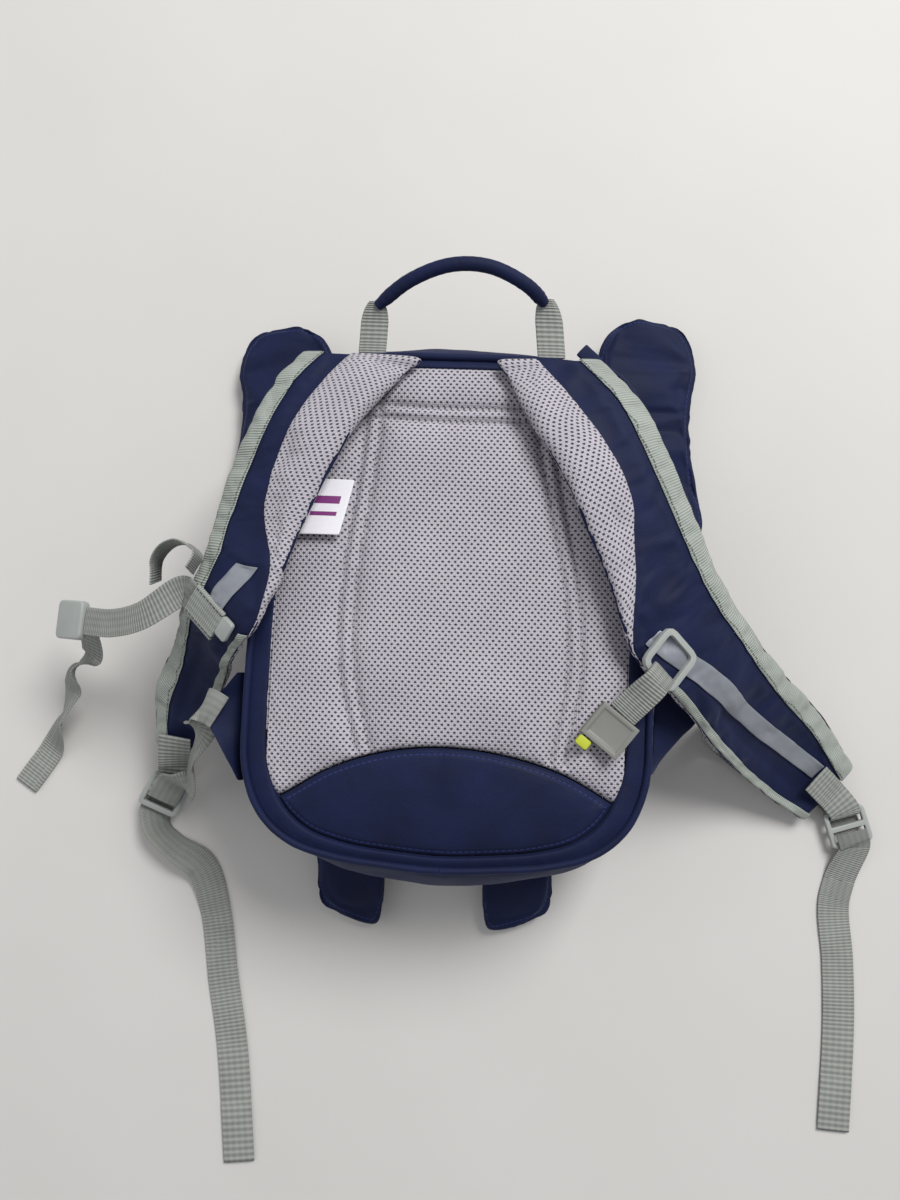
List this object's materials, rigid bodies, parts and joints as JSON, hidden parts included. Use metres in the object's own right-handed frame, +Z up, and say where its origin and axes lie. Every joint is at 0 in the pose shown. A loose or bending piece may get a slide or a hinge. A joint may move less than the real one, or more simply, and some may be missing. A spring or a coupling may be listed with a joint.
{
  "type": "child's backpack",
  "caption": "Small child's backpack with padded ears and feet, mesh back pad, padded shoulder straps with ladder locks, chest strap and grab handle, lying on its front.",
  "frame": {"origin": "centre of the flat patch of the front panel that the pack rests on", "axes": "+Z up out of the back pad, +Y towards the pack's top and handle, +X to the right seen from the back"},
  "size_m": [0.5685, 0.5639, 0.1295],
  "materials": {
    "navy_cloth": "woven nylon, slight sheen",
    "mesh_cloth": "matte spacer mesh",
    "grey_tape": "ribbed webbing",
    "reflective_tape": "smooth reflective tape",
    "grey_plastic": "satin moulded plastic",
    "yellow_plastic": "moulded plastic",
    "dark_metal": "dark plated",
    "zip_coil": "nylon coil",
    "white_satin": "satin label"
  },
  "bodies": {
    "root": {"front_shell": "navy_cloth", "back_gusset": "navy_cloth", "back_piping": "navy_cloth", "back_pad": "mesh_cloth", "lumbar_pad": "navy_cloth", "zip_chain": "zip_coil", "zip_slider": "dark_metal", "zip_ring": "dark_metal", "zip_pull": "navy_cloth", "ear_left": "navy_cloth", "ear_right": "navy_cloth", "foot_left": "navy_cloth", "foot_right": "navy_cloth", "wing_left": "navy_cloth", "wing_right": "navy_cloth", "strap_right": "navy_cloth", "strap_mesh_right": "mesh_cloth", "strap_binding_right": "grey_tape", "strap_edge_right": "grey_tape", "reflector_right": "reflective_tape", "strap_left": "navy_cloth", "strap_mesh_left": "mesh_cloth", "strap_binding_left": "grey_tape", "strap_edge_left": "grey_tape", "reflector_left": "reflective_tape", "ladder_lock_right": "grey_plastic", "ladder_lock_left": "grey_plastic", "end_web_right": "grey_tape", "end_web_left": "grey_tape", "lower_web_left": "grey_tape", "lower_web_right": "grey_tape", "tail_right": "grey_tape", "tail_left": "grey_tape", "handle_grip": "navy_cloth", "handle_web_left": "grey_tape", "handle_web_right": "grey_tape", "chest_frame_right": "grey_plastic", "chest_web_right": "grey_tape", "chest_socket_right": "grey_plastic", "chest_whistle_right": "yellow_plastic", "chest_loop_left": "grey_tape", "chest_keeper_left": "grey_plastic", "chest_web_left": "grey_tape", "chest_arch_left": "grey_tape", "chest_plug_left": "grey_plastic", "chest_tail_left": "grey_tape", "side_label": "white_satin"}
  },
  "joints": []
}
